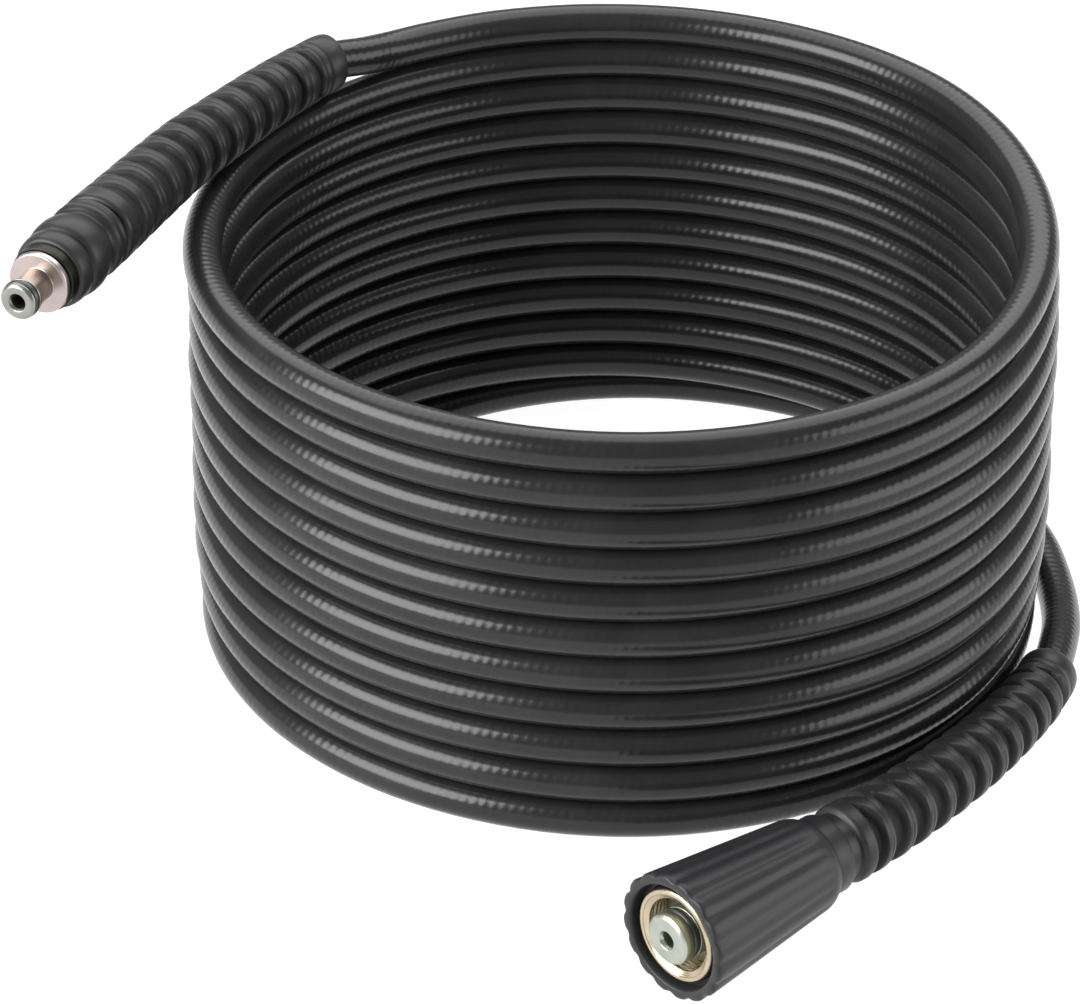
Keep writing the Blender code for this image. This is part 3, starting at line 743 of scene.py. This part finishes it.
brass = metal("brass_insert", nut_face, 90.0, (0.48, 0.40, 0.28), (0.26, 0.21, 0.11), 0.5, 0.26, 0.1)
thread = [(0.0026 + THREAD_PITCH / 8 * step, THREAD_R) for step in range(62)]
insert = turned("insert", broken([
    (0.0014, 0.0127), (0.0014, 0.0138), (0.0020, 0.0144), (0.0183, 0.0144), (0.0183, 0.0078),
    (0.0142, 0.0078), (0.0142, THREAD_R),
], 0.0003) + thread[::-1], METAL_SIDES)
for corner in insert.data.vertices:
    reach = hypot(corner.co.x, corner.co.y)
    if THREAD_FROM < corner.co.z < THREAD_TO and abs(reach - THREAD_R) < 0.0001:
        turn = (corner.co.z / THREAD_PITCH - atan2(corner.co.y, corner.co.x) / (2 * pi)) % 1.0
        cut = THREAD_DEPTH * abs(2 * turn - 1) * eased((corner.co.z - THREAD_FROM) / 0.0012)
        corner.co.x *= (reach + cut) / reach
        corner.co.y *= (reach + cut) / reach
lay(insert, nut_place)
finish_mesh(insert, METAL_ANGLE)
insert.data.materials.append(brass)
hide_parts("nut_insert")
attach(insert, "nut")

grip_outline = [(0.0010, 0.0162), (0.0003, 0.0164), (0.0, 0.0168)]
grip_outline += [(0.0, 0.0188), (0.0003, 0.0193), (0.0009, 0.0196)]
for step in range(1, 35):
    distance = 0.0009 + step * 0.0015
    grip_outline.append((distance, 0.0197 - 0.0055 * distance / 0.0566))
grip_outline += [
    (0.0530, 0.0144), (0.0542, 0.0140), (0.0556, 0.0132), (0.0564, 0.0126), (0.0567, 0.0121),
    (0.0580, 0.0121), (0.0620, 0.0121), (0.0628, 0.0117), (0.0630, 0.0112), (0.0630, 0.0096),
    (0.0186, 0.0096), (0.0186, 0.0147), (0.0045, 0.0147), (0.0045, 0.0162),
]
grip = turned("grip", grip_outline, GRIP_SIDES)
for corner in grip.data.vertices:
    reach = hypot(corner.co.x, corner.co.y)
    if reach < 0.0168 and corner.co.z < 0.02 or reach < 0.0125 or corner.co.z > 0.0545:
        continue
    angle = atan2(corner.co.y, corner.co.x)
    flute = ((1 + cos(FLUTES * angle)) / 2) ** 2.0 * (1 - 0.4 * eased((corner.co.z - 0.001) / 0.006))
    run_out = 1 - eased((corner.co.z - 0.0495) / 0.0045)
    rim = eased((reach - 0.0160) / 0.0024 + (corner.co.z > 0.0008))
    cut = FLUTE_DEPTH * flute * run_out * rim
    corner.co.x *= (reach - cut) / reach
    corner.co.y *= (reach - cut) / reach
lay(grip, nut_place)
finish_mesh(grip, METAL_ANGLE)
grip_plastic, tree, shader = start_material("grip_plastic_skin", (0.03, 0.03, 0.033), 0.4)
shader.inputs["Specular IOR Level"].default_value = 0.22
skin = rub(tree, shader, (0.008, 0.008, 0.0092), (0.02, 0.02, 0.0215), 0.3, 0.42, 0.12, 2200.0)
raise_by(tree, shader, skin.outputs["Height"], 0.00004)
grip.data.materials.append(grip_plastic)
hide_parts("nut_grip")
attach(grip, "nut")


# A plain pale floor, and soft studio light: a strong box on the left, a weaker one on the right, and a
# broad one above and a little behind.
bpy.ops.mesh.primitive_plane_add(size=8.0, location=(0.0, 0.0, 0.0))
floor = bpy.context.object
floor.name = "floor"
floor_paint, tree, shader = start_material("floor_paint", (0.2, 0.2, 0.2), 0.9)
shader.inputs["Emission Color"].default_value = (1.0, 1.0, 1.0, 1.0)
shader.inputs["Emission Strength"].default_value = 0.96
floor.data.materials.append(floor_paint)

world = bpy.data.worlds.new("studio")
world.use_nodes = True
world.node_tree.nodes["Background"].inputs["Color"].default_value = (1.0, 1.0, 1.0, 1.0)
world.node_tree.nodes["Background"].inputs["Strength"].default_value = 0.3
bpy.context.scene.world = world

# The usual view transform turns a white floor grey
bpy.context.scene.view_settings.view_transform = "Standard"
bpy.context.scene.view_settings.gamma = 1.15


def soft_light(name, round_by, height, away, size, brightness):
    """A soft light that faces the coil. It stands round_by degrees to the right of the camera."""
    turned_by = radians(round_by - 45.0)
    place = Vector((away * cos(turned_by), away * sin(turned_by), height))
    bpy.ops.object.light_add(type="AREA", location=place)
    light = bpy.context.object
    light.name = name
    light.data.shape = "RECTANGLE"
    light.data.size = size[0]
    light.data.size_y = size[1]
    light.data.energy = brightness * pi * size[0] * size[1]
    light.rotation_euler = (place - Vector((0, 0, 0.07))).to_track_quat("Z", "Y").to_euler()


soft_light("light_left", -59.0, 0.70, 1.4, (1.3, 1.0), 13.5)
soft_light("light_right", 75.0, 0.45, 1.5, (1.4, 0.9), 4.0)
soft_light("light_top", 180.0, 1.5, 0.8, (2.4, 1.8), 3.3)
